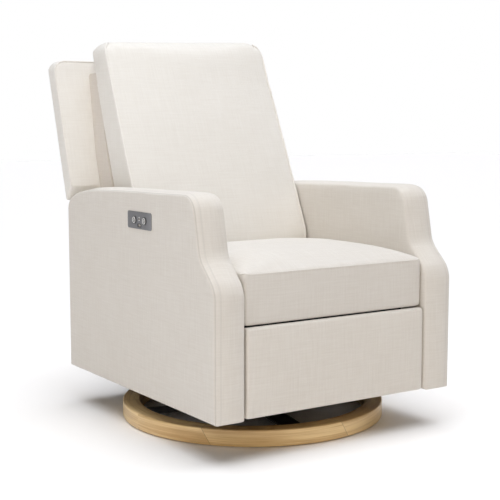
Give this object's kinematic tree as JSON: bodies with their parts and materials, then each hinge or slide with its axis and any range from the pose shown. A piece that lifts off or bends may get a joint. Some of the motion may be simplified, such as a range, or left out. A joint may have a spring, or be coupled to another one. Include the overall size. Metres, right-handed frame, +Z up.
{
  "type": "reclining swivel glider chair",
  "caption": "Upholstered nursery armchair that swivels and glides on a round wooden base, with a powered reclining back and a fold-out footrest.",
  "frame": {"origin": "on the floor, at the swivel axis", "axes": "+Z up along the swivel axis; -Y is the way the seat faces; +X is to the right of someone who faces the front of the chair"},
  "size_m": [0.7533, 0.9616, 1.062],
  "materials": {
    "fabric_body": "cream linen weave",
    "fabric_cushion": "pale cream linen weave",
    "frame_wood": "plain pine and plywood",
    "ring_wood": "clear lacquered light oak",
    "black_steel": "satin black powder coat",
    "bar_steel": "dark grey satin",
    "bright_steel": "zinc plated",
    "nylon": "moulded nylon",
    "dust_fabric": "black non-woven",
    "web": "elastic webbing",
    "panel_plate": "dark anodised",
    "button_black": "satin",
    "panel_plastic": "satin",
    "indicator": "polished"
  },
  "bodies": {
    "base": {"base_ring": "ring_wood", "base_glides": "nylon", "base_cross": "black_steel", "base_screws": "bright_steel", "swivel_lower_race": "bar_steel", "swivel_balls": "bright_steel", "swivel_king_pin": "bright_steel"},
    "turntable": {"swivel_upper_race": "bar_steel", "swivel_frame": "black_steel", "glide_hanger_left": "black_steel", "glide_hanger_right": "black_steel", "glide_upper_pins": "bright_steel"},
    "front_links": {"glide_front_links": "bar_steel"},
    "rear_links": {"glide_rear_links": "bar_steel"},
    "chair": {"glide_rail_left": "black_steel", "glide_rail_right": "black_steel", "glide_lower_pins": "bright_steel", "front_rail": "frame_wood", "rear_rail": "frame_wood", "arm_frame_left": "frame_wood", "arm_frame_right": "frame_wood", "arm_left": "fabric_body", "arm_right": "fabric_body", "rear_panel": "fabric_body", "dust_cover": "dust_fabric", "mechanism_plate_left": "black_steel", "mechanism_plate_right": "black_steel", "mechanism_bolts": "bright_steel", "rear_cross_tube": "black_steel", "seat_frame": "frame_wood", "seat_springs": "bright_steel", "seat_cushion": "fabric_cushion", "actuator_track": "bar_steel", "actuator_motor": "panel_plastic", "control_plate": "panel_plate", "indicator_ring": "indicator", "usb_socket": "panel_plastic", "power_inlet": "panel_plastic"},
    "actuator_slider": {"actuator_slider": "nylon"},
    "recline_button": {"button_recline": "button_black"},
    "return_button": {"button_return": "button_black"},
    "back": {"back_bracket_left": "black_steel", "back_bracket_right": "black_steel", "back_frame": "frame_wood", "back_webbing": "web", "back_core": "fabric_body", "back_cushion": "fabric_cushion", "outer_back": "fabric_body"},
    "recline_rods": {"recline_rod_left": "bright_steel", "recline_rod_right": "bright_steel"},
    "drive_bars": {"drive_tube": "black_steel", "scissor_drive_bars": "bar_steel"},
    "guide_bars": {"scissor_guide_bars": "bar_steel"},
    "lift_bars": {"scissor_lift_bars": "bar_steel"},
    "outer_bars": {"scissor_outer_bars": "bar_steel"},
    "control_links": {"footrest_control_links": "bar_steel"},
    "footrest": {"footrest_brackets": "black_steel", "footrest_board": "frame_wood", "footrest_pad": "fabric_cushion"}
  },
  "joints": [
    {"name": "swivel", "type": "hinge", "parent": "base", "child": "turntable", "pos_m": [0, 0, 0.041], "axis": [0, 0, 1], "continuous": true},
    {"name": "glide", "type": "hinge", "parent": "turntable", "child": "front_links", "pos_m": [0, -0.115, 0.225], "axis": [1, 0, 0], "range_deg": [-18, 18]},
    {"name": "glide_front_foot", "type": "hinge", "parent": "front_links", "child": "chair", "pos_m": [0, -0.115, 0.13], "axis": [1, 0, 0], "range_deg": [-18.5, 18.5]},
    {"name": "glide_rear_link", "type": "hinge", "parent": "turntable", "child": "rear_links", "pos_m": [0, 0.115, 0.225], "axis": [1, 0, 0], "range_deg": [-18.5, 18.5]},
    {"name": "back_recline", "type": "hinge", "parent": "chair", "child": "back", "pos_m": [0, 0.18, 0.43], "axis": [-1, 0, 0], "range_deg": [0, 35]},
    {"name": "recline_rod_joint", "type": "hinge", "parent": "back", "child": "recline_rods", "pos_m": [0, 0.21503, 0.36548], "axis": [-1, 0, 0], "range_deg": [-36, 1]},
    {"name": "drive_tube_turn", "type": "hinge", "parent": "chair", "child": "drive_bars", "pos_m": [0, -0.289, 0.302], "axis": [-1, 0, 0], "range_deg": [-1, 68]},
    {"name": "scissor_guide", "type": "hinge", "parent": "drive_bars", "child": "guide_bars", "pos_m": [0, -0.3018, 0.2109], "axis": [-1, 0, 0], "range_deg": [-105, 1]},
    {"name": "scissor_lift", "type": "hinge", "parent": "drive_bars", "child": "lift_bars", "pos_m": [0, -0.31461, 0.11979], "axis": [-1, 0, 0], "range_deg": [-105, 1]},
    {"name": "scissor_outer", "type": "hinge", "parent": "lift_bars", "child": "outer_bars", "pos_m": [0, -0.32741, 0.2109], "axis": [-1, 0, 0], "range_deg": [-1, 105]},
    {"name": "control_link_joint", "type": "hinge", "parent": "outer_bars", "child": "control_links", "pos_m": [0, -0.34022, 0.11979], "axis": [-1, 0, 0], "range_deg": [-96, 1]},
    {"name": "footrest_hinge", "type": "hinge", "parent": "lift_bars", "child": "footrest", "pos_m": [0, -0.34022, 0.302], "axis": [-1, 0, 0], "range_deg": [-1, 128]},
    {"name": "actuator_slide", "type": "slide", "parent": "chair", "child": "actuator_slider", "axis": [0, -1, 0], "range_m": [-0.001, 0.0895]},
    {"name": "recline_button_press", "type": "slide", "parent": "chair", "child": "recline_button", "axis": [1, 0, 0], "range_m": [0, 0.0015], "stiffness_N_per_m": 900},
    {"name": "return_button_press", "type": "slide", "parent": "chair", "child": "return_button", "axis": [1, 0, 0], "range_m": [0, 0.0015], "stiffness_N_per_m": 900}
  ],
  "couplings": [
    {"joint": "glide_front_foot", "follows": "glide", "ratio": -1},
    {"joint": "glide_rear_link", "follows": "glide", "ratio": 1},
    {"joint": "recline_rod_joint", "follows": "back_recline", "ratio": -1},
    {"joint": "drive_tube_turn", "follows": "back_recline", "ratio": 1.9143},
    {"joint": "scissor_guide", "follows": "back_recline", "ratio": -2.9714},
    {"joint": "scissor_lift", "follows": "back_recline", "ratio": -2.9714},
    {"joint": "scissor_outer", "follows": "back_recline", "ratio": 2.9714},
    {"joint": "control_link_joint", "follows": "back_recline", "ratio": -2.7103},
    {"joint": "footrest_hinge", "follows": "back_recline", "ratio": 3.6286},
    {"joint": "actuator_slide", "follows": "back_recline", "m_per_rad": 0.14457}
  ]
}
